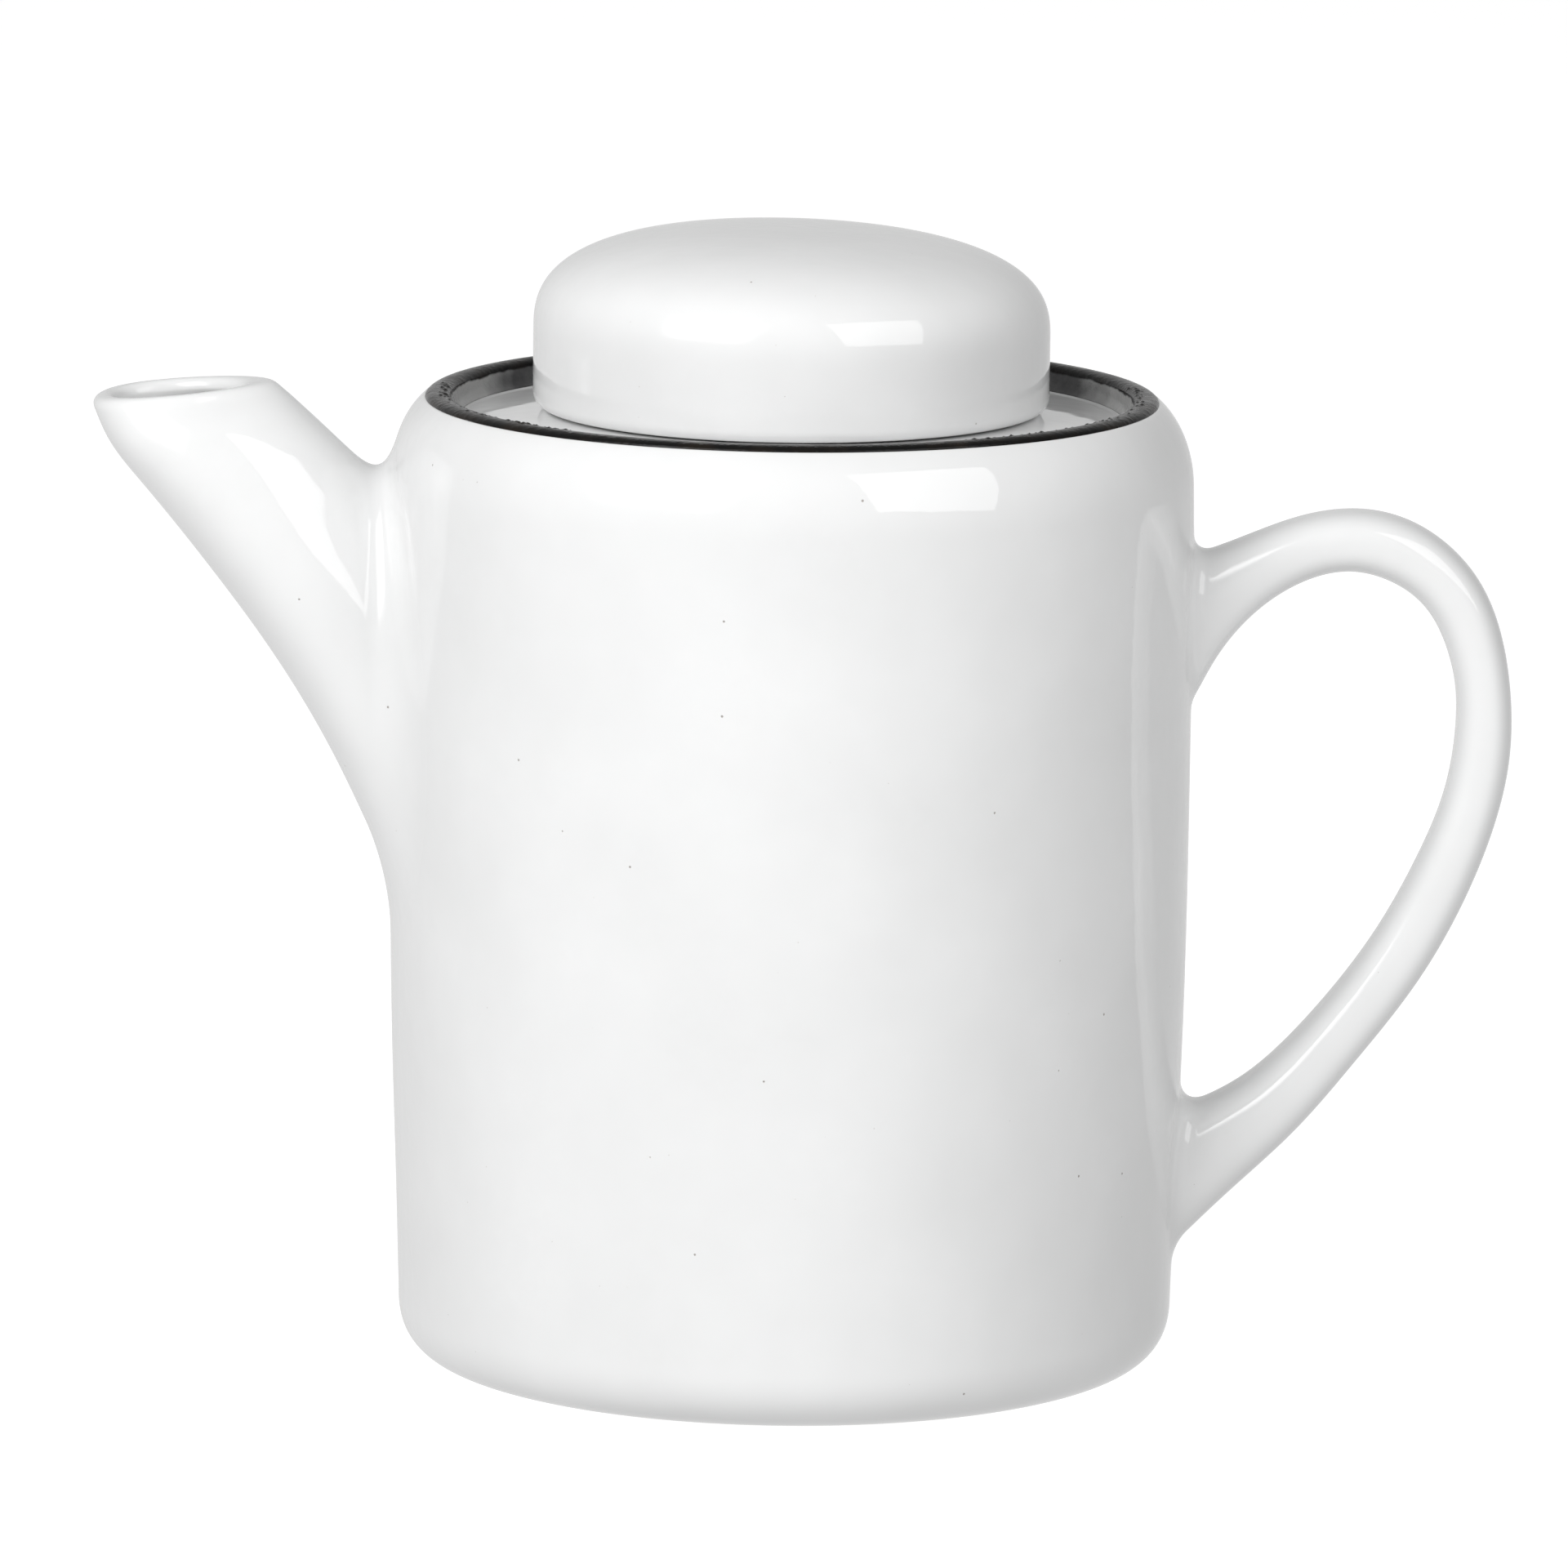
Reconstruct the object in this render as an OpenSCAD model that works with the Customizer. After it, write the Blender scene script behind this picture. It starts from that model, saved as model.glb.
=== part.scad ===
// Coffee pot in white glazed stoneware. Sizes are in millimetres.
// The pot stands on z = 0 on its foot ring, the spout points to -X and the handle to +X.
// The lid drops into the mouth from above and is lifted straight up.

/* [Body] */
// Largest outside diameter of the pot
body_d = 120; // [112:1:132]
// Height of the top of the rim above the table
rim_h = 147; // [144:0.5:152]
// Wall thickness
wall = 4; // [3.2:0.1:4.6]
// Rounding between the wall and the foot
heel_r = 9.6; // [8:0.2:12]
// Height over which the shoulder turns in to the rim
shoulder_h = 14; // [12:0.5:16]
// How far the shoulder turns in
shoulder_in = 10; // [9:0.5:11]

/* [Foot] */
// Outside diameter of the bare foot ring
foot_d = 98.4; // [90:0.2:98.4]
// Width of the foot ring
foot_w = 5.4; // [4:0.2:8]
// Height of the foot ring
foot_h = 2.6; // [2:0.1:3.4]

/* [Mouth] */
// Outside diameter of the black rim
rim_d = 109.6; // [106:0.2:111]
// Width of the black rim
rim_w = 4.2; // [3.4:0.1:5]
// Depth of the lid seat below the rim
seat_depth = 2.5; // [2:0.1:3.5]
// Fall of the seat towards the wall, so that drips stay in the trough
seat_fall = 1.7; // [1:0.1:2]
// Diameter of the opening
mouth_d = 68; // [62:0.5:70]

/* [Lid] */
// Outside diameter of the lid
lid_d = 77.2; // [75:0.2:82]
// Height of the lid above its seat
lid_h = 27; // [22:0.5:32]
// Height of the straight side of the lid
lid_side_h = 11.4; // [9:0.2:13]
// Squareness of the dome, where 2 is a round dome
dome_power = 2.64; // [2.2:0.02:3]
// Depth of the locating collar under the lid
collar_h = 13; // [9:0.5:16]
// Gap between lid and pot when the lid is on
lid_gap = 0.3; // [0.3:0.05:0.5]
// Sideways play of the collar in the opening
collar_play = 0.8; // [0.6:0.1:1.5]

/* [Spout] */
// Reach of the spout tip from the middle of the pot
spout_reach = 105; // [98:0.5:112]
// Width of the spout at the pot, across the pot
spout_root_w = 34; // [30:0.5:38]
// Width of the spout at its mouth
spout_tip_w = 22; // [20:0.5:25]
// Thickness of the spout wall
spout_wall = 3; // [2.6:0.1:3.2]

/* [Handle] */
// Reach of the handle from the middle of the pot
handle_reach = 108; // [104:0.5:114]
// Width of the handle, across the pot
handle_w = 14; // [12:0.5:18]

/* [Hidden] */
$fn = 96;
body_r = body_d / 2;
heel_x = body_r - 1.2 - heel_r;
heel_z = heel_r + 0.4;
foot_r = foot_d / 2;
rim_r = rim_d / 2;
rim_in = rim_r - rim_w;
shoulder_z = rim_h + 1 - shoulder_h;
shoulder_r = body_r - shoulder_in;
seat_z = rim_h - seat_depth;
seat_edge_r = mouth_d / 2 + 2;
trough_r = rim_in - 1.8;
trough_z = seat_z - seat_fall;
mouth_r = mouth_d / 2;
lid_r = lid_d / 2;
lid_z = seat_z + lid_gap;
lid_lip = 2.2;
dome_z = lid_z + lid_side_h;
dome_h = lid_h - lid_side_h;
collar_r = mouth_r - collar_play;
collar_w = 3.5;
glaze = [0.95, 0.95, 0.94];
black = [0.09, 0.09, 0.09];
bare = [0.86, 0.83, 0.77];

// Point on an ellipse quarter
function ell(c, a, b, t) = [c[0] + a * cos(t), c[1] + b * sin(t)];
// Point on a superellipse quarter, with power p
function sup(c, a, b, p, t) = [c[0] + a * pow(cos(t), 2 / p), c[1] + b * pow(sin(t), 2 / p)];
// Angle on the shoulder at which it meets the outer edge of the rim
rim_t = acos((rim_r - shoulder_r) / shoulder_in);
rim_edge_z = shoulder_z + shoulder_h * sin(rim_t);

// Outside of the pot from the middle of the foot to the rim
function pot_out() = concat(
    [[0, 0.4], [heel_x, 0.4]],
    [for (i = [1:12]) let(t = -90 + i * 7.5)
        [heel_x + heel_r * cos(t), heel_z + heel_r * sin(t)]],
    [[body_r - 0.35, 32], [body_r, 62], [body_r, shoulder_z]],
    [for (i = [1:14]) ell([shoulder_r, shoulder_z], shoulder_in, shoulder_h, rim_t * i / 14)]
);

// Inside of the pot from the opening down to the middle of the floor
function pot_in() = let(r = body_r - wall, fz = foot_h + wall + 0.6)  concat(
    [[mouth_r, seat_z - 1], [mouth_r, seat_z - 3.2], [mouth_r + 1, seat_z - 4.2]],
    [for (i = [0:8]) ell([r - 9, shoulder_z - 1], 9, seat_z - 4.2 - shoulder_z + 1, 90 - i * 11.25)],
    [[r, 62], [r - 0.35, 32]],
    [for (i = [0:8]) let(t = -i * 11.25)
        [r - 1.2 - 9 + 9 * cos(t), fz + 9 + 9 * sin(t)]],
    [[0, fz]]
);

module solid_pot() rotate_extrude() polygon(concat(pot_out(), [[0, rim_edge_z]]));

// A pot wall with its shoulder, its seat for the lid and the hole into the spout
module pot_body() color(glaze) difference() {
    rotate_extrude() polygon(concat(
        [[0, foot_h], [foot_r, foot_h], [foot_r, 0.4]],
        [for (i = [1:12]) let(t = -90 + i * 7.5)
            [heel_x + heel_r * cos(t), heel_z + heel_r * sin(t)]],
        [[body_r - 0.35, 32], [body_r, 62], [body_r, shoulder_z]],
        [for (i = [1:14]) ell([shoulder_r, shoulder_z], shoulder_in, shoulder_h, rim_t * i / 14)],
        [[rim_r, trough_z + 1], [rim_in, trough_z + 1]],
        [for (i = [1:5]) let(t = -i * 16.5)
            [trough_r + 1.8 * cos(t), trough_z + 1.8 + 1.8 * sin(t)]],
        [[seat_edge_r, seat_z], [mouth_r + 1, seat_z], [mouth_r + 0.3, seat_z - 0.3]],
        pot_in()
    ));
    // the hole into the spout
    for (z = [88, 112]) translate([-body_r + 12, 0, z]) rotate([0, -90, 0]) cylinder(h = 14, r = 9);
    translate([-body_r - 2, -9, 88]) cube([14, 18, 24]);
}

// The unglazed ring the pot stands on
module foot_ring() color(bare) rotate_extrude() polygon([
    [foot_r - foot_w, foot_h], [foot_r - foot_w, 0.7], [foot_r - foot_w + 0.2, 0.2],
    [foot_r - foot_w + 0.7, 0], [foot_r - 0.7, 0], [foot_r - 0.2, 0.2], [foot_r, 0.6], [foot_r, foot_h]
]);

// The rounded rim in black glaze
module rim_band() color(black) rotate_extrude() polygon(concat(
    [[rim_in, trough_z + 1], [rim_r, trough_z + 1]],
    [for (i = [0:10]) ell([rim_r - rim_w / 2, rim_edge_z - 0.3], rim_w / 2,
        rim_h - rim_edge_z + 0.3, i * 18)]
));

// Oval ring of points between two rails: a outer, b inner, w half width
function ring(a, b, w, n, p) = [for (j = [0:n - 1]) let(t = 360 * j / n,
        c = cos(t), s = sin(t),
        u = sign(c) * pow(abs(c), 2 / p), v = sign(s) * pow(abs(s), 2 / p))
    [(a[0] + b[0]) / 2 + u * (a[0] - b[0]) / 2, w * v, (a[1] + b[1]) / 2 + u * (a[1] - b[1]) / 2]];

// Smooth curve through a list of stations, each [outer x, outer z, inner x, inner z, half width]
function cr(p, q, r, s, t) = 0.5 * (2 * q + (r - p) * t + (2 * p - 5 * q + 4 * r - s) * t * t
    + (3 * q - p - 3 * r + s) * t * t * t);
function smooth(L, k) = let(m = len(L) - 1) concat(
    [for (i = [0:m - 1]) for (j = [0:k - 1])
        cr(L[max(i - 1, 0)], L[i], L[i + 1], L[min(i + 2, m)], j / k)],
    [L[m]]);

// Solid through rings of n points, closed by flat ends
module loft(rings, n) {
    m = len(rings);
    polyhedron(
        points = [for (r = rings) for (p = r) p],
        faces = concat(
            [[for (j = [n - 1:-1:0]) j]],
            [for (i = [0:m - 2]) for (j = [0:n - 1]) each [
                [i * n + j, i * n + (j + 1) % n, (i + 1) * n + (j + 1) % n],
                [i * n + j, (i + 1) * n + (j + 1) % n, (i + 1) * n + j]]],
            [[for (j = [0:n - 1]) (m - 1) * n + j]]
        ));
}

// Spout outline, from inside the pot out to the lip
sx = (spout_reach - body_r) / 45;
sw = spout_root_w / 2;
tw = spout_tip_w / 2;
function sp(x) = -(body_r + (x - 60) * (x > 60 ? sx : 1));
spout_rail = [
    [sp(50), 62, sp(46), 116, sw - 1],
    [sp(59), 66.5, sp(52), 123.4, sw],
    [sp(61.4), 76, sp(57), 128.8, sw + 0.3],
    [sp(66.9), 88.1, sp(61.6), 133.4, sw],
    [sp(73.1), 99.2, sp(65.2), 136.7, sw - 0.6],
    [sp(80.1), 110.3, sp(68.4), 139.6, sw - 1.7],
    [sp(88.6), 121.4, sp(71.5), 142.4, (sw + tw) / 2],
    [sp(97.3), 132.4, sp(74.5), 145.3, tw + 1.2],
    [sp(102.6), 140.2, sp(76.5), 147.2, tw + 0.2],
    [sp(104.7), 144.2, sp(77.6), 148.1, tw]
];
spout_n = 40;

// Move the rails of one station in by d
function inset(s, d) = let(l = norm([s[0] - s[2], s[1] - s[3]]),
    ux = (s[0] - s[2]) / l, uz = (s[1] - s[3]) / l)
    [s[0] - d * ux, s[1] - d * uz, s[2] + d * ux, s[3] + d * uz, s[4] - d];
function lift(s, d) = [s[0], s[1] + d, s[2], s[3] + d, s[4]];
lip = spout_rail[9];

// Closed skin through rings of n points, the last ring joined to the first
module skin(rings, n) {
    m = len(rings);
    polyhedron(
        points = [for (r = rings) for (p = r) p],
        faces = [for (i = [0:m - 1]) for (j = [0:n - 1]) let(k = (i + 1) % m) each [
            [i * n + j, i * n + (j + 1) % n, k * n + (j + 1) % n],
            [i * n + j, k * n + (j + 1) % n, k * n + j]]]);
}

// The spout: a tapering oval tube with a rounded lip, out along the outside and back inside
module spout() color(glaze) difference() {
    s1 = smooth(spout_rail, 2);
    m = len(s1) - 1;
    skin([for (s = concat(s1,
            [lift(inset(lip, 0.4), 0.5), lift(inset(lip, 1.1), 0.8),
             lift(inset(lip, spout_wall - 1), 0.8), lift(inset(lip, spout_wall - 0.3), 0.4)],
            [for (i = [0:m]) inset(s1[m - i], spout_wall)]))
        ring([s[0], s[1]], [s[2], s[3]], s[4], spout_n, 2.1)], spout_n);
    solid_pot();
}

// Handle outline, from inside the pot at the top to inside the pot at the bottom
hx = (handle_reach - body_r) / 48;
hw = handle_w / 2;
function hp(x) = body_r + (x - 60) * (x > 60 ? hx : 1);
handle_rail = [
    [hp(52), 120.6, hp(52), 96, hw + 1.2],
    [hp(61), 124, hp(60.2), 102, hw + 1],
    [hp(68.4), 126.5, hp(65.4), 110, hw + 0.6],
    [hp(75.6), 129.2, hp(72.6), 117.3, hw + 0.2],
    [hp(83.6), 130.4, hp(82), 121.2, hw],
    [hp(92.8), 128.5, hp(88.9), 119.9, hw],
    [hp(100.6), 122.8, hp(94.2), 116.3, hw],
    [hp(105.4), 114.7, hp(97.5), 111.3, hw],
    [hp(107.7), 105.2, hp(99.1), 104.4, hw],
    [hp(108), 96.5, hp(99.5), 97, hw],
    [hp(106.7), 86.4, hp(98.4), 88.6, hw],
    [hp(103.6), 76.4, hp(95.5), 80, hw],
    [hp(98.9), 66.4, hp(91.1), 71.2, hw],
    [hp(92.8), 56.3, hp(85.1), 62, hw + 0.1],
    [hp(85.2), 46.2, hp(77.7), 52.5, hw + 0.3],
    [hp(76.6), 36, hp(70.2), 45.1, hw + 0.7],
    [hp(68.6), 27.7, hp(65), 41.2, hw + 1],
    [hp(61.4), 20.8, hp(59.6), 39.2, hw + 1.3],
    [hp(52), 13.5, hp(52), 37, hw + 1.4]
];
handle_n = 32;

// The pulled handle, an oval strap
module handle() color(glaze) difference() {
    loft([for (s = smooth(handle_rail, 2))
        ring([s[0], s[1]], [s[2], s[3]], s[4], handle_n, 2.3)], handle_n);
    solid_pot();
}

// The hollow domed lid, which is also its own grip
module lid_dome() color(glaze) rotate_extrude() polygon(concat(
    [[0, dome_z + dome_h]],
    [for (i = [1:23]) sup([0, dome_z], lid_r, dome_h, dome_power, 90 - i * 90 / 23)],
    [for (i = [0:6]) let(t = -i * 15)
        [lid_r - lid_lip + lid_lip * cos(t), lid_z + lid_lip + lid_lip * sin(t)]],
    [[collar_r - collar_w, lid_z], [collar_r - collar_w, lid_z + 3.4],
     [lid_r - wall - 0.6, lid_z + 4], [lid_r - wall, lid_z + 6]],
    [for (i = [0:17]) sup([0, dome_z], lid_r - wall, dome_h - wall, dome_power, i * 90 / 17)]
));

// The ring under the lid that drops into the opening
module lid_collar() color(glaze) rotate_extrude() polygon([
    [collar_r - collar_w, lid_z], [collar_r - collar_w, lid_z - collar_h + 0.8],
    [collar_r - collar_w + 0.8, lid_z - collar_h], [collar_r - 1.2, lid_z - collar_h],
    [collar_r, lid_z - collar_h + 1.2], [collar_r, lid_z]
]);

pot_body();
foot_ring();
rim_band();
spout();
handle();
lid_dome();
lid_collar();
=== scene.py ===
"""Looks for the coffee pot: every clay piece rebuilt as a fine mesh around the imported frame.

Lengths are millimetres in the frame's own axes unless they say otherwise: z up, spout to -X,
handle to +X. The make() helper turns them into metres.
"""
import math

import bpy
import numpy as np
from mathutils import Matrix, Vector


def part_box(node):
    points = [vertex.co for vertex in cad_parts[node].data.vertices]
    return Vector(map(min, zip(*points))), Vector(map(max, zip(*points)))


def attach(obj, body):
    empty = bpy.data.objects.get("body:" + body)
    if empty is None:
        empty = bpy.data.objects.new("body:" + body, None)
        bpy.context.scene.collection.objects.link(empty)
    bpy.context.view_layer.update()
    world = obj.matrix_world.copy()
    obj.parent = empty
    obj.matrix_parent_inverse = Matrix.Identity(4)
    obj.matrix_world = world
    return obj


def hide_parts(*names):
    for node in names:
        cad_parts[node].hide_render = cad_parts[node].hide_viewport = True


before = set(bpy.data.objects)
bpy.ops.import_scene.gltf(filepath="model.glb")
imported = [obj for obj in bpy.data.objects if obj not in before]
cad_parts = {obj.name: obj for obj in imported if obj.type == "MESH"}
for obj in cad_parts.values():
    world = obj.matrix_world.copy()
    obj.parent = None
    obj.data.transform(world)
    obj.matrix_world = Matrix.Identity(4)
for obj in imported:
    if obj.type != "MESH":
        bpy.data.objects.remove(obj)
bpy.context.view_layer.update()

MM = 0.001
rng = np.random.default_rng(7)


def node_box(name):
    """A node's lowest and highest corners in millimetres."""
    return np.array([list(c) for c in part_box(name)]) / MM


# ---------------------------------------------------------------- sizes, from the frame
BODY_R = node_box("pot_body")[1][1]
RIM_TOP = node_box("rim_band")[1][2]
RIM_R = node_box("rim_band")[1][1]
FOOT_R = node_box("foot_ring")[1][1]
FOOT_H = node_box("foot_ring")[1][2]
LID_R = node_box("lid_dome")[1][1]
LID_LOW, LID_TOP = node_box("lid_dome")[:, 2]
COLLAR_R = node_box("lid_collar")[1][1]
COLLAR_LOW = node_box("lid_collar")[0][2]
SPOUT_X = -node_box("spout")[0][0]

WALL = 4.0
RIM_W = 3.8                        # width of the black band
RIM_IN = RIM_R - RIM_W
SEAT_Z = LID_LOW - 0.3             # the ledge the lid sits over
MOUTH_R = COLLAR_R + 0.8           # the opening under the lid
TROUGH_Z = SEAT_Z - 1.7            # the trough is deepest along the band
HEEL_R, HEEL_LOW = 9.6, 0.4        # the rounded foot of the wall, and how far it clears the ground
HEEL_TOP = HEEL_LOW + HEEL_R
HEEL_IN, HEEL_POWER = 1.7, 2.4     # the wall is that much narrower at the heel
SHOULDER_IN, SHOULDER_H = 10.0, 14.0
SHOULDER_Z = RIM_TOP + 1 - SHOULDER_H
FLOOR_Z = FOOT_H + WALL + 0.6
INNER_R, INNER_ROUND = BODY_R - WALL, 9.0
AROUND = 240
UNIT = BODY_R / 60                 # the stations of the spout and the handle are for a pot 120 mm across


# ---------------------------------------------------------------- outlines
def arc(cx, cz, a, b, t0, t1, n):
    """Points of an ellipse arc in the (r, z) plane, angles in degrees."""
    t = np.radians(np.linspace(t0, t1, n + 1))
    return list(zip(cx + a * np.cos(t), cz + b * np.sin(t)))


def superarc(cz, a, b, power, t0, t1, n):
    """Points of a superellipse arc about the axis, angles in degrees."""
    t = np.radians(np.linspace(t0, t1, n + 1))
    c, s = np.maximum(np.cos(t), 0), np.maximum(np.sin(t), 0)
    return list(zip(a * c ** (2 / power), cz + b * s ** (2 / power)))


def resample(points, step):
    """The same outline with no stretch longer than step."""
    out = [points[0]]
    for p, q in zip(points[:-1], points[1:]):
        n = max(1, math.ceil(math.dist(p, q) / step))
        out += [(p[0] + (q[0] - p[0]) * k / n, p[1] + (q[1] - p[1]) * k / n) for k in range(1, n + 1)]
    return out


def rounded(points, radii, n=6):
    """A polyline whose inner corners are rounded, each by its own radius."""
    out = [points[0]]
    for p, c, q, r in zip(points[:-2], points[1:-1], points[2:], radii):
        p, c, q = map(np.array, (p, c, q))
        u, v = (p - c) / np.linalg.norm(p - c), (q - c) / np.linalg.norm(q - c)
        turn = math.acos(max(-1, min(1, float(u @ v))))
        if r == 0 or turn > 3.13:
            out.append(tuple(c))
            continue
        back = r / math.tan(turn / 2)
        a, b = c + u * back, c + v * back
        for k in range(n + 1):
            s = k / n
            w = 1 / math.sin(turn / 2)
            mid = (1 - s) ** 2 + 2 * s * (1 - s) / w + s ** 2
            out.append(tuple((a * (1 - s) ** 2 + c * 2 * s * (1 - s) / w + b * s ** 2) / mid))
    return out + [points[-1]]


def spline(x, y, xs):
    """Natural cubic spline through (x, y), read at xs; y may have several columns."""
    x, y = np.asarray(x, float), np.asarray(y, float)
    if y.ndim == 1:
        return spline(x, y[:, None], xs)[..., 0]
    n, h = len(x), np.diff(x)
    m, rhs = np.eye(n), np.zeros((n, y.shape[1]))
    for i in range(1, n - 1):
        m[i, i - 1:i + 2] = h[i - 1], 2 * (h[i - 1] + h[i]), h[i]
        rhs[i] = 6 * ((y[i + 1] - y[i]) / h[i] - (y[i] - y[i - 1]) / h[i - 1])
    k = np.linalg.solve(m, rhs)
    xs = np.asarray(xs, float)
    i = np.clip(np.searchsorted(x, xs) - 1, 0, n - 2)
    d, t, u = h[i][..., None], (xs - x[i])[..., None], (x[i + 1] - xs)[..., None]
    return ((k[i] * u ** 3 + k[i + 1] * t ** 3) / (6 * d)
            + (y[i] / d - k[i] * d / 6) * u + (y[i + 1] / d - k[i + 1] * d / 6) * t)


# ---------------------------------------------------------------- meshes
def make(name, verts, faces, material, body, node=None):
    """A smooth-shaded mesh object that rides on a body and stands for a CAD node."""
    v = np.asarray(verts, float)
    tri = np.array([(f[0], f[i], f[i + 1]) for f in faces for i in range(1, len(f) - 1)])
    if np.sum(v[tri[:, 0]] * np.cross(v[tri[:, 1]], v[tri[:, 2]])) < 0:
        faces = [f[::-1] for f in faces]
    mesh = bpy.data.meshes.new(name)
    mesh.from_pydata([tuple(q) for q in v * MM], [], faces)
    mesh.polygons.foreach_set("use_smooth", [True] * len(mesh.polygons))
    mesh.materials.append(material)
    obj = bpy.data.objects.new(name, mesh)
    bpy.context.scene.collection.objects.link(obj)
    if body:
        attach(obj, body)
    if node:
        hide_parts(node)
    return obj


def grid_faces(rows, cols, closed=False):
    """Quads of a grid whose columns run round in a loop, and its rows too if closed."""
    f = []
    for i in range(rows if closed else rows - 1):
        a, b = i * cols, (i + 1) % rows * cols
        f += [(a + j, a + (j + 1) % cols, b + (j + 1) % cols, b + j) for j in range(cols)]
    return f


def spin(name, outline, material, body, node=None, shape=None, around=AROUND):
    """A solid turned from an outline that starts and ends on the axis, or a ring from a closed outline.

    shape, if given, moves the finished points."""
    o = np.asarray(outline, float)
    o = o[np.append(True, np.linalg.norm(np.diff(o, axis=0), axis=1) > 0.001)]
    if np.linalg.norm(o[0] - o[-1]) < 0.001:
        o = o[:-1]
    solid = o[0][0] < 1e-6 and o[-1][0] < 1e-6
    rows = o[1:-1] if solid else o
    a = np.linspace(0, 2 * np.pi, around, endpoint=False)
    r, z = rows[:, 0:1], rows[:, 1:2]
    v = np.stack([r * np.cos(a), r * np.sin(a), z + 0 * a], 2).reshape(-1, 3)
    faces = grid_faces(len(rows), around, closed=not solid)
    if solid:
        n, last = len(v), (len(rows) - 1) * around
        v = np.vstack([v, [[0, 0, o[0][1]], [0, 0, o[-1][1]]]])
        faces += [(n, (j + 1) % around, j) for j in range(around)]
        faces += [(n + 1, last + j, last + (j + 1) % around) for j in range(around)]
    if shape:
        v = shape(v)
    return make(name, v, faces, material, body, node)


# ---------------------------------------------------------------- the pot's outside as a radius by height
heel_arc = np.array(superarc(0, 1, 1, HEEL_POWER, 0, 90, 30))[::-1]
HEEL = list(zip(BODY_R - HEEL_IN - HEEL_R + HEEL_R * heel_arc[:, 0], HEEL_TOP - HEEL_R * heel_arc[:, 1]))
RIM_T = math.degrees(math.acos((RIM_R - BODY_R + SHOULDER_IN) / SHOULDER_IN))
SHOULDER = arc(BODY_R - SHOULDER_IN, SHOULDER_Z, SHOULDER_IN, SHOULDER_H, 0, RIM_T, 40)
wall_z = np.linspace(HEEL_TOP, SHOULDER_Z, 84)
TAPER_Z = [HEEL_TOP, 30, 46, 62, 96, SHOULDER_Z]
TAPER = [-HEEL_IN, -1.1, -0.55, -0.2, 0, 0]
wall_r = BODY_R + spline(TAPER_Z, TAPER, wall_z)
OUTSIDE = HEEL + list(zip(wall_r, wall_z))[1:-1] + SHOULDER
OUT_R, OUT_Z = np.array(OUTSIDE).T


def body_radius(z):
    return np.interp(z, OUT_Z, OUT_R)


def body_normal(p):
    """Outward direction of the pot's outside at the height of points p."""
    slope = body_radius(p[..., 2] + 0.5) - body_radius(p[..., 2] - 0.5)
    r = np.hypot(p[..., 0], p[..., 1])
    return unit(np.stack([p[..., 0] / r, p[..., 1] / r, -slope], -1))


def onto_body(p, lift=0.0):
    """Points moved sideways onto the pot's outside, or lift above it."""
    k = (body_radius(p[..., 2]) + lift) / np.hypot(p[..., 0], p[..., 1])
    return np.stack([p[..., 0] * k, p[..., 1] * k, p[..., 2]], -1)


def unit(v):
    return v / np.linalg.norm(v, axis=-1, keepdims=True)


def cubic(p0, p1, p2, p3, at):
    """Rows of Bezier curves between sets of points, read at places 0 to 1."""
    u = np.asarray(at)[:, None, None]
    return p0 * (1 - u) ** 3 + 3 * p1 * u * (1 - u) ** 2 + 3 * p2 * u ** 2 * (1 - u) + p3 * u ** 3


SETTLE, SETTLE_Z = 0.35, 124.0      # how far over, and the height it starts at


def settle(v):
    """The thrown shoulder and rim sit a little towards the spout."""
    up = np.clip((v[:, 2] - SETTLE_Z) / (RIM_TOP - SETTLE_Z), 0, 1)
    return np.stack([v[:, 0] - SETTLE * up ** 2 * (3 - 2 * up), v[:, 1], v[:, 2]], 1)


# ---------------------------------------------------------------- straps between two rails
class Strap:
    """An oval strap or tube between an outer and an inner rail in the plane y = 0.

    Each station is [outer x, outer z, inner x, inner z, half width], and power squares the oval.
    A bulge moves its widest place towards the outer rail."""

    def __init__(self, stations, power, around, bulge=0.0):
        self.s = np.asarray(stations, float)
        mid = (self.s[:, 0:2] + self.s[:, 2:4]) / 2
        d = np.linalg.norm(np.diff(mid, axis=0), axis=1)
        self.t = np.concatenate([[0], np.cumsum(d)])
        self.t /= self.t[-1]
        self.power, self.around, self.bulge = power, around, bulge
        a = np.linspace(0, 2 * np.pi, around, endpoint=False)
        self.cos, self.sin = np.cos(a), np.sin(a)

    def at(self, t, inset=0.0):
        """Points on the skin, or inset below it, at places t along the strap: rows x around."""
        t = np.asarray(t, float) + np.zeros((1, self.around))
        s = spline(self.t, self.s, t)
        half = (s[..., 0:2] - s[..., 2:4]) / 2
        size = np.linalg.norm(half, axis=-1, keepdims=True)
        inset = np.broadcast_to(inset, t.shape)
        across = np.sign(self.sin) * np.abs(self.sin) ** (2 / self.power)
        along = np.sign(self.cos) * np.abs(self.cos) ** (2 / self.power) + self.bulge * self.sin ** 2
        mid = (s[..., 0:2] + s[..., 2:4]) / 2 + half * (size - inset[..., None]) / size * along[..., None]
        return np.stack([mid[..., 0], (s[..., 4] - inset) * across, mid[..., 1]], -1)

    def blend(self, outer, inner, side):
        """One value for each column, from its values at the outer rail, the inner rail and the sides."""
        to_outer, to_inner = np.maximum(self.cos, 0) ** 2, np.maximum(-self.cos, 0) ** 2
        return side + (outer - side) * to_outer + (inner - side) * to_inner


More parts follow.
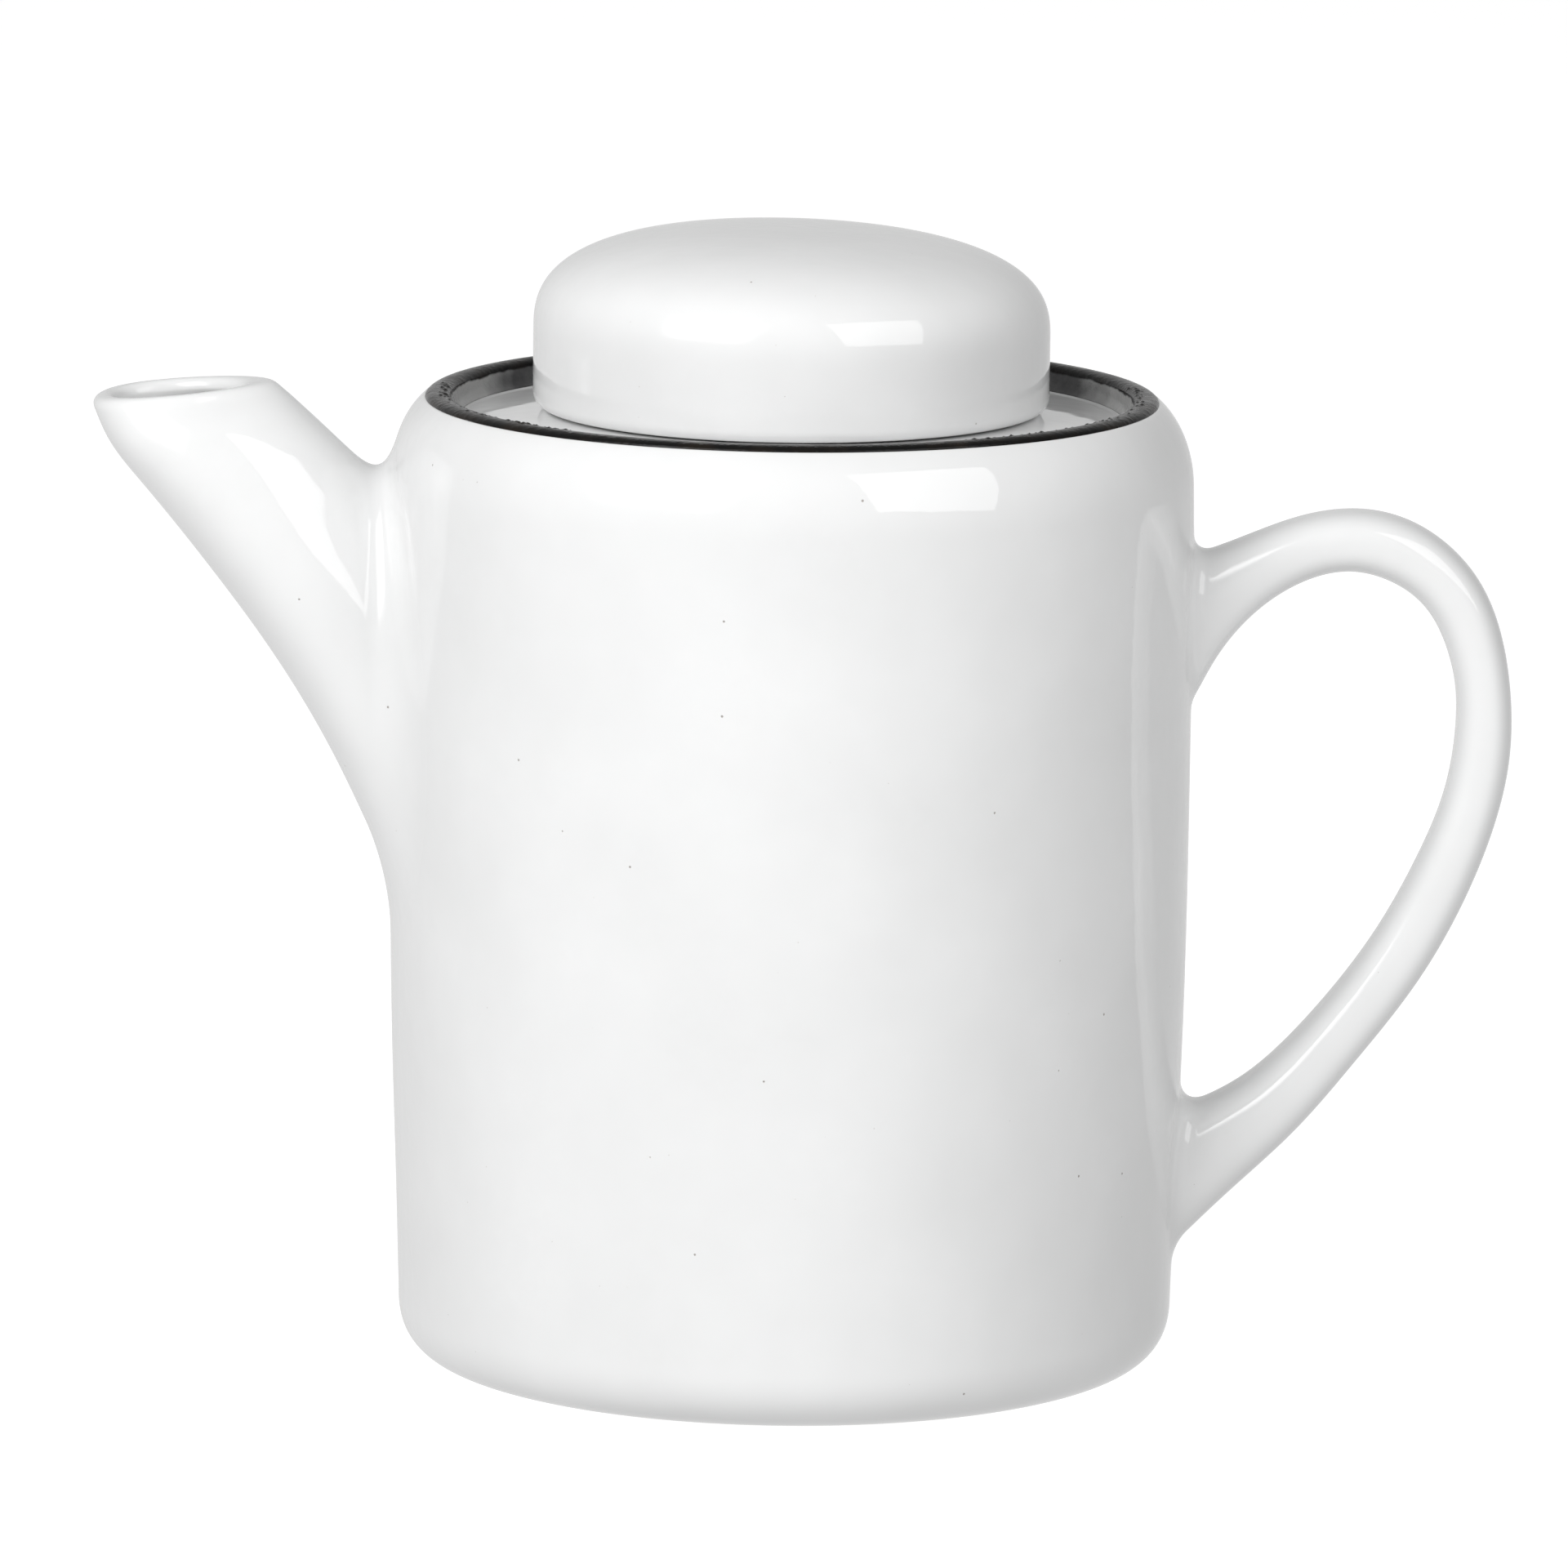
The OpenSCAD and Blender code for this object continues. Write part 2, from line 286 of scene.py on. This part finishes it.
def luted(strap, reach, end=0, within=0.42, rows=16):
    """The joint of a strap with the pot: clay wiped out over the wall.

    reach is how far it spreads over both, for each column. It returns rows of points from below the pot's
    skin up to the strap, and where on the strap each column ends. The joint is looked for within that share
    of the strap, from the end at 0 or 1."""
    proud, roundness, small_step = 0.015, 0.62, 0.004
    fine = np.linspace(end, abs(end - within), 900)[:, None]
    g = strap.at(fine)
    gap = np.hypot(g[..., 0], g[..., 1]) - body_radius(g[..., 2])
    col = np.arange(strap.around)

    # where each column leaves the pot's skin, and the place on the strap that is its reach further on
    k = len(fine) - 1 - np.argmax((gap < 0)[::-1], axis=0)
    w = (gap[k, col] / (gap[k, col] - gap[k + 1, col]))[:, None]
    q = g[k, col] * (1 - w) + g[k + 1, col] * w
    step = np.linalg.norm(np.diff(g, axis=0), axis=2)
    run = np.concatenate([np.zeros((1, strap.around)), np.cumsum(step, 0)])
    at_q = run[k, col] * (1 - w[:, 0]) + run[k + 1, col] * w[:, 0]
    t_end = np.array([np.interp(at_q[j] + reach[j], run[:, j], fine[:, 0]) for j in col])
    b = strap.at(t_end[None])[0]
    further = strap.at((t_end + (-small_step if end else small_step))[None])[0]

    # the place on the wall that is the reach outside the crossing
    out = unit(np.cross(np.roll(q, -1, 0) - np.roll(q, 1, 0), body_normal(q)))
    if np.sum(out * (q - q.mean(0))) < 0:
        out = -out
    for _ in range(4):
        out = unit(np.roll(out, 1, 0) + 2 * out + np.roll(out, -1, 0))
    a = onto_body(q + out * reach[:, None], proud)
    n = body_normal(a)
    to_q = q - a
    a_dir = unit(to_q - n * np.sum(to_q * n, 1, keepdims=True))
    hold = roundness * reach[:, None]
    fillet = cubic(a, a + a_dir * hold, b + unit(b - further) * hold, b, np.linspace(0, 1, rows))

    # rows just under the pot's skin keep the shading smooth where the joint runs out
    outside_and_lift = ((-0.4, -1.4), (1.6, -0.045), (0.8, -0.012))
    sunk = [onto_body(a + out * far, lift) for far, lift in outside_and_lift]
    return np.concatenate([np.array(sunk), fillet]), t_end


# ---------------------------------------------------------------- materials
def new_material(name):
    m = bpy.data.materials.new(name)
    m.use_nodes = True
    t = m.node_tree
    return m, t, t.nodes["Principled BSDF"]


def add(tree, kind, inputs=(), **props):
    n = tree.nodes.new(kind)
    for k, v in props.items():
        setattr(n, k, v)
    for k, v in dict(inputs).items():
        if isinstance(v, bpy.types.NodeSocket):
            tree.links.new(v, n.inputs[k])
        else:
            n.inputs[k].default_value = v
    return n


def noise(tree, where, scale, detail=2.0, rough=0.5):
    inputs = {"Vector": where, "Scale": scale, "Detail": detail, "Roughness": rough}
    return add(tree, "ShaderNodeTexNoise", inputs).outputs["Fac"]


def span(tree, value, a, b, lo, hi, smooth=False):
    """Maps value from a..b to lo..hi, held at the ends."""
    inputs = {"Value": value, "From Min": a, "From Max": b, "To Min": lo, "To Max": hi}
    kind = "SMOOTHSTEP" if smooth else "LINEAR"
    return add(tree, "ShaderNodeMapRange", inputs, interpolation_type=kind).outputs["Result"]


def math_node(tree, op, a, b=0.0):
    return add(tree, "ShaderNodeMath", {0: a, 1: b}, operation=op).outputs[0]


def mix(tree, fac, a, b):
    n = add(tree, "ShaderNodeMix", {0: fac}, data_type="RGBA")
    for i, v in ((6, a), (7, b)):
        if isinstance(v, bpy.types.NodeSocket):
            tree.links.new(v, n.inputs[i])
        else:
            n.inputs[i].default_value = (*v, 1)
    return n.outputs[2]


def specks(tree, where, per_m, size, threshold):
    """Small round spots: 1 inside, 0 outside. per_m is how many cells a metre holds."""
    v = add(tree, "ShaderNodeTexVoronoi", {"Vector": where, "Scale": per_m}, feature="F1")
    pick = add(tree, "ShaderNodeSeparateColor", {"Color": v.outputs["Color"]}).outputs["Red"]
    chosen = span(tree, pick, threshold, threshold + 0.01, 1, 0)
    spot = span(tree, v.outputs["Distance"], size * 0.6, size, 1, 0, smooth=True)
    return math_node(tree, "MULTIPLY", chosen, spot)


def bump(tree, height, distance, strength=1.0, under=None, invert=False):
    """A bump whose height from 0 to 1 is distance metres, over an earlier bump if there is one."""
    inputs = {"Strength": strength, "Distance": distance, "Height": height}
    if under:
        inputs["Normal"] = under
    return add(tree, "ShaderNodeBump", inputs, invert=invert).outputs[0]


def white_glaze():
    m, t, p = new_material("white_glaze")
    at = add(t, "ShaderNodeTexCoord").outputs["Object"]
    cloud = noise(t, at, 38, 3, 0.55)
    fine = noise(t, at, 420, 3, 0.6)
    tone = mix(t, span(t, cloud, 0.3, 0.7, 0, 1), (0.805, 0.808, 0.807), (0.858, 0.861, 0.861))
    tone = mix(t, span(t, fine, 0.35, 0.7, 0, 0.35), tone, (0.83, 0.834, 0.835))
    pit = specks(t, at, 300, 0.062, 0.05)
    dust = specks(t, at, 700, 0.075, 0.02)
    tone = mix(t, math_node(t, "MULTIPLY", pit, 0.7), tone, (0.26, 0.21, 0.17))
    tone = mix(t, math_node(t, "MULTIPLY", dust, 0.45), tone, (0.36, 0.32, 0.28))
    t.links.new(tone, p.inputs["Base Color"])
    rough = span(t, noise(t, at, 60, 4, 0.6), 0.3, 0.7, 0.02, 0.055)
    t.links.new(rough, p.inputs["Roughness"])
    p.inputs["IOR"].default_value = 1.5
    slow = bump(t, noise(t, at, 45, 1, 0.4), 0.00028)
    skin = bump(t, noise(t, at, 230, 2, 0.5), 0.000035, under=slow)
    t.links.new(bump(t, pit, 0.00025, 0.7, under=skin, invert=True), p.inputs["Normal"])
    return m


def black_glaze():
    m, t, p = new_material("black_glaze")
    at = add(t, "ShaderNodeTexCoord").outputs["Object"]
    brown = span(t, noise(t, at, 130, 4, 0.6), 0.45, 0.75, 0, 1)
    tone = mix(t, brown, (0.007, 0.007, 0.0068), (0.02, 0.015, 0.011))
    # it runs thin and grey on the way down to the lid seat; the grey is partly that thin glaze and partly
    # painted shade, darkened to stand for the lid's shadow on the gallery wall
    place = add(t, "ShaderNodeSeparateXYZ", {0: at}).outputs
    edge = math_node(t, "ADD", place["Z"], span(t, noise(t, at, 260, 3, 0.5), 0.3, 0.7, -0.0002, 0.0002))
    thick = span(t, edge, (RIM_TOP - 1.25) * MM, (RIM_TOP - 0.95) * MM, 0, 1)
    cloud = span(t, noise(t, at, 190, 4, 0.6), 0.3, 0.7, 0, 1)
    thin_glaze_painted_light = mix(t, cloud, (0.06, 0.06, 0.063), (0.11, 0.11, 0.11))
    # painted light: towards the far left and right ends the wall is painted light grey, where the lamps
    # reach past the lid
    side = math_node(t, "ABSOLUTE", place["X"])
    side = math_node(t, "ADD", side, span(t, noise(t, at, 70, 3, 0.6), 0.3, 0.7, -0.003, 0.003))
    thin_glaze_painted_light = mix(t, span(t, side, 0.042, 0.0475, 0, 1), thin_glaze_painted_light, (0.46, 0.46, 0.455))
    tone = mix(t, thick, thin_glaze_painted_light, tone)
    t.links.new(tone, p.inputs["Base Color"])
    satin = span(t, noise(t, at, 240, 3, 0.6), 0.3, 0.7, 0.12, 0.26)
    shine = span(t, thick, 0, 1, 0.3, 1)
    t.links.new(math_node(t, "MULTIPLY", satin, shine), p.inputs["Roughness"])
    p.inputs["IOR"].default_value = 1.4
    p.inputs["Specular IOR Level"].default_value = 0.2
    crust = span(t, noise(t, at, 900, 2, 0.6), 0.45, 0.7, 0, 1)
    t.links.new(bump(t, crust, 0.00006, 0.6), p.inputs["Normal"])
    return m


def bare_clay():
    m, t, p = new_material("bare_clay")
    at = add(t, "ShaderNodeTexCoord").outputs["Object"]
    grit = noise(t, at, 900, 4, 0.7)
    cloud = span(t, noise(t, at, 70, 3, 0.5), 0.3, 0.7, 0, 1)
    tone = mix(t, cloud, (0.60, 0.545, 0.46), (0.70, 0.655, 0.58))
    tone = mix(t, specks(t, at, 520, 0.09, 0.12), tone, (0.36, 0.29, 0.22))
    t.links.new(tone, p.inputs["Base Color"])
    t.links.new(span(t, grit, 0.3, 0.7, 0.7, 0.9), p.inputs["Roughness"])
    t.links.new(bump(t, grit, 0.00012, 0.8), p.inputs["Normal"])
    return m


WHITE, BLACK, CLAY = white_glaze(), black_glaze(), bare_clay()

# ---------------------------------------------------------------- pot wall
CEILING = SEAT_Z - 4.2
wall_in = [(r - WALL, z) for r, z in zip(wall_r, wall_z) if FLOOR_Z + INNER_ROUND < z < SHOULDER_Z - 1]
cove = rounded(
    [(RIM_IN + 0.02, RIM_TOP - 1.0), (RIM_IN - 0.6, TROUGH_Z + 0.1), (MOUTH_R + 2, SEAT_Z)], [2.0], 14)
ledge = rounded(
    [cove[-2], (MOUTH_R + 2, SEAT_Z), (MOUTH_R, SEAT_Z), (MOUTH_R, SEAT_Z - 3.4), (MOUTH_R + 1, CEILING)],
    [0.6, 0.8, 0.4], 10)
under_band = [(RIM_R - 0.05, RIM_TOP - 0.9), (RIM_R - 0.9, RIM_TOP - 1.6), (RIM_IN + 0.7, RIM_TOP - 1.6)]
inside = under_band + cove[1:-1] + ledge
inside += arc(INNER_R - INNER_ROUND, SHOULDER_Z - 1, INNER_ROUND, CEILING - SHOULDER_Z + 1, 90, 0, 14)
inside += wall_in[::-1]
inside += arc(INNER_R - HEEL_IN - INNER_ROUND, FLOOR_Z + INNER_ROUND, INNER_ROUND, INNER_ROUND, 0, -90, 12)
outline = [(0, FOOT_H), (FOOT_R, FOOT_H), (FOOT_R, HEEL_LOW)] + resample(HEEL, 1.6)[1:]
outline += resample(OUTSIDE[len(HEEL) - 1:], 1.6)[1:-1]
outline += resample(inside, 2.6) + resample([inside[-1], (0, FLOOR_Z)], 4)[1:]
pot = spin("pot_wall", outline, WHITE, "pot", "pot_body", shape=settle)

# ---------------------------------------------------------------- foot ring and rim
FOOT_W = 5.4
ring = rounded(
    [(FOOT_R, FOOT_H), (FOOT_R, 0), (FOOT_R - FOOT_W, 0), (FOOT_R - FOOT_W, FOOT_H)], [0.6, 0.6], 6)
spin("foot_ring_clay", resample(ring, 1.0), CLAY, "pot", "foot_ring")

RIM_MID, RIM_CROWN = RIM_R - RIM_W / 2, 0.95
lip = [(RIM_R - 0.9, RIM_TOP - 2.2)]
lip += arc(RIM_MID, RIM_TOP - RIM_CROWN, RIM_W / 2 + 0.02, RIM_CROWN, 0, 180, 30)
run = [q for q in cove[1:-1] if q[1] > TROUGH_Z + 0.3 and q[0] > RIM_IN - 1.5]
lip += [(r - 0.04, z + 0.02) for r, z in run] + [(r + 0.3, z - 0.2) for r, z in run[::-1]]
lip += [(RIM_IN + 0.9, RIM_TOP - 2.6)]
# beads of glaze, on the spout side of the band and on its front right
BEADS, BEAD_MAX = 150, 0.26
bead_side = rng.random(BEADS) < 0.55
bead_a = np.radians(np.where(bead_side, 172 + 62 * rng.random(BEADS), -62 + 74 * rng.random(BEADS)))
bead_r = RIM_IN + 0.5 + 1.5 * rng.random(BEADS) ** 1.4
bead_size = 0.12 + 0.2 * rng.random(BEADS) ** 2


def glaze_edge(v):
    """The black band has a wandering edge, and beads of glaze along its inner side."""
    a = np.arctan2(v[:, 1], v[:, 0])
    r = np.hypot(v[:, 0], v[:, 1])
    waves = ((3, 0.05), (7, 0.04), (13, 0.04), (31, 0.03), (67, 0.02))
    wander = sum(size * np.sin(k * a + k * k) for k, size in waves)
    low = np.clip((RIM_TOP - 0.5 - v[:, 2]) / 0.5, 0, 1) * (r > RIM_MID)
    rise = np.zeros(len(v))
    top = v[:, 2] > RIM_TOP - 1.0
    for ba, br, size in zip(bead_a, bead_r, bead_size):
        d2 = (v[:, 0] - br * math.cos(ba)) ** 2 + (v[:, 1] - br * math.sin(ba)) ** 2
        rise += top * 0.75 * size * np.exp(-d2 / size ** 2)
    z = v[:, 2] + low * wander + np.minimum(rise, BEAD_MAX)
    return settle(np.stack([v[:, 0], v[:, 1], z], 1))


spin("rim_glaze", resample(lip, 0.25), BLACK, "pot", "rim_band", shape=glaze_edge,
     around=5 * AROUND)

# ---------------------------------------------------------------- spout
# Most rail points of the spout and the handle began as the photograph's outline, which a scratch
# program traced and turned into millimetres. They were then picked out and corrected by hand.
# # into millimetres. They were then picked out and corrected.
TIP = (SPOUT_X - 0.4) / UNIT
spout = Strap(UNIT * np.array([
    [-48.0, 50.0, -40.0, 110.0, 15.0],
    [-56.0, 66.0, -50.5, 121.5, 16.4],
    [-61.8, 77.8, -57.4, 128.6, 17.0],
    [-68.5, 91.8, -62.7, 134.2, 16.9],
    [-77.3, 106.6, -67.1, 138.4, 16.7],
    [-88.2, 121.4, -71.0, 142.1, 16.1],
    [-98.0, 133.5, -73.7, 144.6, 14.5],
    [-102.4, 139.5, -75.0, 145.8, 12.9],
    [-TIP, 143.9, -75.8, 146.5, 11.0]]), power=2.05, around=112, bulge=0.22)
LIP_W = spout.blend(3.3, 6.2, 3.2)      # the lip is thickest on the pot side
TUBE_WALL = 3.2
joint, t_root = luted(spout, spout.blend(9.0, 8.6, 10.0), within=0.85)
s = np.linspace(0, 1, 150)[1:, None]
skin = spout.at(t_root[None] + (1 - t_root[None]) * s)

# the lip rolls over from the skin to the channel
edge, edge_in = skin[-1], spout.at(1.0, LIP_W)[0]
leaving = unit(edge - spout.at(0.995)[0])
mouth_dir = unit(edge[spout.around // 2] - edge[0])
mouth_n = np.array([-mouth_dir[2], 0, mouth_dir[0]])
inward = edge.mean(0) - edge
inward = unit(inward - mouth_n * (inward @ mouth_n)[:, None])
crest = (edge + edge_in) / 2 + mouth_n * spout.blend(1.7, 1.8, 1.8)[:, None]


def bend(p, q, leave, arrive, rows=9, hold=0.45):
    """Rows of a curve from p, leaving along leave, to q, arriving along arrive, without p itself."""
    size = np.linalg.norm(q - p, axis=-1, keepdims=True) * hold
    return cubic(p, p + leave * size, q - arrive * size, q, np.linspace(0, 1, rows + 1)[1:])


# the channel runs back to the hole in the pot's wall
HOLE_R, HOLE_Z, HOLE_UP = 8.6, 100.0, 12.0
hole_z = HOLE_Z - HOLE_R * spout.cos - HOLE_UP * np.clip(spout.cos * 3, -1, 1)
hole = onto_body(np.stack([-BODY_R + 0 * hole_z, HOLE_R * spout.sin, hole_z], -1), -1.4)
channel = []
for u in np.linspace(1, 0.34, 44)[1:]:
    channel.append(spout.at(u, TUBE_WALL + (LIP_W - TUBE_WALL) * max(0, u - 0.8) / 0.2)[0])
ease = np.linspace(0, 1, len(channel))[:, None, None] ** 3
channel = np.array(channel) * (1 - ease) + hole * ease
rolled = [bend(edge, crest, leaving, inward), bend(crest, edge_in, inward, -mouth_n)]
grid = np.concatenate([joint, skin, *rolled, channel])
faces = grid_faces(len(grid), spout.around, closed=True)
make("spout_tube", settle(grid.reshape(-1, 3)), faces, WHITE, "pot", "spout")

# ---------------------------------------------------------------- handle
handle = Strap(UNIT * np.array([
    [50.0, 119.3, 50.0, 92.0, 8.6],
    [58.0, 122.4, 58.2, 98.4, 8.2],
    [64.7, 124.8, 63.2, 107.2, 7.7],
    [72.0, 127.7, 69.8, 115.3, 7.3],
    [79.2, 129.8, 76.9, 119.8, 7.0],
    [86.6, 130.1, 83.4, 121.2, 7.0],
    [94.0, 127.8, 89.6, 119.7, 7.0],
    [101.4, 121.7, 95.2, 115.3, 7.0],
    [106.2, 112.1, 98.7, 107.8, 7.0],
    [108.1, 98.4, 99.8, 99.2, 7.0],
    [106.8, 86.6, 98.5, 88.7, 7.0],
    [102.6, 73.9, 94.6, 78.0, 7.0],
    [94.8, 59.0, 88.0, 65.6, 7.1],
    [85.2, 46.1, 79.5, 54.1, 7.3],
    [75.4, 34.6, 70.8, 45.1, 7.8],
    [66.0, 25.6, 64.1, 40.8, 8.3],
    [58.0, 17.6, 57.0, 37.8, 8.6],
    [50.0, 10.0, 49.0, 34.4, 8.8]]), power=2.7, around=96)
top, t_top = luted(handle, handle.blend(3.6, 1.2, 3.0), 0)
low, t_low = luted(handle, handle.blend(3.0, 5.0, 3.2), 1)
s = np.linspace(0, 1, 230)[1:-1, None]
grid = np.concatenate([top, handle.at(t_top[None] + (t_low - t_top)[None] * s), low[::-1]])
n, last = grid.shape[0] * handle.around, (grid.shape[0] - 1) * handle.around
verts = np.vstack([grid.reshape(-1, 3), [grid[0].mean(0)], [grid[-1].mean(0)]])
faces = grid_faces(len(grid), handle.around)
for j in range(handle.around):
    k = (j + 1) % handle.around
    faces += [(n, k, j), (n + 1, last + j, last + k)]
make("handle_strap", verts, faces, WHITE, "pot", "handle")

# ---------------------------------------------------------------- lid
SIDE_H, DOME_POWER, LIP_R = 11.4, 2.64, 2.2
LID_LEAN, LID_SHIFT = 0.018, -0.52      # rise over run, and millimetres
DOME_Z = LID_LOW + SIDE_H
DOME_H = LID_TOP - DOME_Z
BOWL_R, COLLAR_IN = LID_R - WALL, COLLAR_R - 3.5
dome = superarc(DOME_Z, LID_R, DOME_H, DOME_POWER, 90, 0, 90)
under = arc(LID_R - LIP_R, LID_LOW + LIP_R, LIP_R, LIP_R, 0, -90, 10)
flange = rounded(
    [under[-1], (COLLAR_IN, LID_LOW), (COLLAR_IN, LID_LOW + 3.4),
     (BOWL_R, LID_LOW + 4.2), (BOWL_R, DOME_Z)], [0.3, 0.6, 2.0], 6)
bowl = superarc(DOME_Z, BOWL_R, DOME_H - WALL, DOME_POWER, 0, 90, 40)
lid_outline = dome + resample([dome[-1], under[0]], 1.4)[1:-1] + under
lid_outline += resample(flange, 1.6)[1:] + bowl[1:]


def lean(v):
    """The thrown lid is a little higher on the spout side, and sits a little towards it."""
    up = np.clip((v[:, 2] - LID_LOW) / (LID_TOP - LID_LOW), 0, 1)
    return np.stack([v[:, 0] + LID_SHIFT, v[:, 1], v[:, 2] - LID_LEAN * v[:, 0] * up], 1)


spin("lid_shell", lid_outline, WHITE, "lid", "lid_dome", shape=lean)
collar = rounded(
    [(COLLAR_R, LID_LOW), (COLLAR_R, COLLAR_LOW), (COLLAR_IN, COLLAR_LOW), (COLLAR_IN, LID_LOW)],
    [1.2, 0.9], 6)
spin("lid_locator", resample(collar, 1.2), WHITE, "lid", "lid_collar", shape=lean)

# ---------------------------------------------------------------- hole from the pot into the spout
CUT_R, CUT_X = 9.0, (-66, -44)
turn = np.linspace(-math.pi / 2, math.pi / 2, 18)
cut = [(CUT_R * math.sin(a), HOLE_Z - HOLE_UP - CUT_R * math.cos(a)) for a in turn]
cut += [(-CUT_R * math.sin(a), HOLE_Z + HOLE_UP + CUT_R * math.cos(a)) for a in turn]
n = len(cut)
cut_faces = [tuple(range(n)), tuple(range(2 * n - 1, n - 1, -1))]
cut_faces += [(i, n + i, n + (i + 1) % n, (i + 1) % n) for i in range(n)]
cutter = make("cutter", [(x, y, z) for x in CUT_X for y, z in cut], cut_faces, WHITE, None)
boolean = pot.modifiers.new("hole", "BOOLEAN")
boolean.operation, boolean.solver, boolean.object = "DIFFERENCE", "EXACT", cutter
bpy.context.view_layer.update()
holed = bpy.data.meshes.new_from_object(pot.evaluated_get(bpy.context.evaluated_depsgraph_get()))
pot.modifiers.clear()
pot.data = holed
bpy.data.objects.remove(cutter)

# ---------------------------------------------------------------- stage, light and camera
floor_mat, t, p = new_material("floor_white")
p.inputs["Base Color"].default_value = (0.4, 0.4, 0.4, 1)
p.inputs["Roughness"].default_value = 0.9
p.inputs["Emission Color"].default_value = (1, 1, 1, 1)
p.inputs["Emission Strength"].default_value = 0.84
floor_mat.cycles.emission_sampling = "NONE"
FAR = 9000
corners = [(-FAR, -FAR, 0), (FAR, -FAR, 0), (FAR, FAR, 0), (-FAR, FAR, 0)]
floor = make("floor", corners, [(0, 1, 2, 3)], floor_mat, None)
# the camera sees it plain white, and it neither lights nor darkens the pot: the world does that
floor.visible_diffuse = False
floor.visible_glossy = False
floor.visible_shadow = False

world = bpy.data.worlds.new("studio")
bpy.context.scene.world = world
world.use_nodes = True
wt = world.node_tree
sky = add(wt, "ShaderNodeTexCoord").outputs["Generated"]
# broad lights round the studio: where each comes from, and how strong it is. The strengths began as a
# scratch program's fit to the photograph's tones, and were rounded and changed by hand.
# # fit to the photograph's tones, and were rounded and changed.
AMBIENT = {
    (0, -1, 0): 0.11, (0, 0, 1): 0.15, (-1, -1, 0): 0.16, (1, -1, 0): 0.14, (-1, 0, 0): 0.25,
    (0, 0, -1): 0.16, (0, -1, -1): 0.59, (-1, 0, 1): 0.04, (0, 1, -0.35): 0.62, (0, 1, -1): 0.12}
level = 0.0
for way, strength in AMBIENT.items():
    facing = add(wt, "ShaderNodeVectorMath", {0: sky, 1: Vector(way).normalized()}, operation="DOT_PRODUCT")
    half = span(wt, facing.outputs["Value"], -1, 1, 0, 1)
    glow = math_node(wt, "MULTIPLY", math_node(wt, "POWER", half, 4.0), strength)
    level = math_node(wt, "ADD", level, glow)
wt.links.new(level, wt.nodes["Background"].inputs["Strength"])
wt.nodes["Background"].inputs["Color"].default_value = (1, 1, 1, 1)


def softbox(name, azimuth, elevation, far, wide, high, radiance, soft=0.0, turn=0.0):
    """A rectangular light aimed at the pot. Azimuth 0 is towards the camera and 90 towards the handle.

    soft is how far its edge fades in, as a share of its width, and turn tips it clockwise."""
    a, e = math.radians(azimuth), math.radians(elevation)
    aim = Vector((0, 0, 0.1))
    way = Vector((math.sin(a) * math.cos(e), -math.cos(a) * math.cos(e), math.sin(e)))
    light = bpy.data.lights.new(name, "AREA")
    light.shape, light.size, light.size_y = "RECTANGLE", wide, high
    light.energy = radiance * math.pi * wide * high
    if soft:
        light.use_nodes = True
        t = light.node_tree
        uv = add(t, "ShaderNodeSeparateXYZ", {0: add(t, "ShaderNodeNewGeometry").outputs["Parametric"]})
        off = [math_node(t, "ABSOLUTE", math_node(t, "SUBTRACT", uv.outputs[i], 0.5)) for i in (0, 1)]
        fade = [span(t, d, 0.5, 0.5 - soft, 0, 1, smooth=True) for d in off]
        t.links.new(math_node(t, "MULTIPLY", *fade), t.nodes["Emission"].inputs["Strength"])
    obj = bpy.data.objects.new(name, light)
    obj.location = aim + way * far
    aimed = (-way).to_track_quat("-Z", "Y").to_matrix()
    obj.rotation_euler = (aimed @ Matrix.Rotation(math.radians(turn), 3, "Z")).to_euler()
    obj.visible_camera = False
    bpy.context.scene.collection.objects.link(obj)


# name, azimuth, elevation, distance, width, height in metres, and radiance
softbox("key", -40, 34, 1.6, 1.35, 1.4, 5.9, soft=0.3)
softbox("fill", 45, 34, 1.6, 1.06, 1.16, 2.6, turn=-8)

# the camera, fitted to the outlines in the photograph
PITCH, YAW, ROLL = 0.17345, -0.00048, 0.01158
CAM_Y, CAM_Z = -1.9, 0.42053
cam = bpy.data.cameras.new("camera")
cam.sensor_width, cam.lens, cam.clip_end = 36, 294.88, 100
cam_obj = bpy.data.objects.new("camera", cam)
fwd = Vector((math.sin(YAW) * math.cos(PITCH), math.cos(YAW) * math.cos(PITCH), -math.sin(PITCH)))
right = Vector((math.cos(YAW), -math.sin(YAW), 0))
up = right.cross(fwd)
side = right * math.cos(ROLL) + up * math.sin(ROLL)
head = up * math.cos(ROLL) - right * math.sin(ROLL)
turned = Matrix((side, head, -fwd)).transposed()
cam_obj.matrix_world = Matrix.Translation((0, CAM_Y, CAM_Z)) @ turned.to_4x4()
bpy.context.scene.collection.objects.link(cam_obj)
bpy.context.scene.camera = cam_obj
bpy.context.scene.view_settings.view_transform = "Standard"
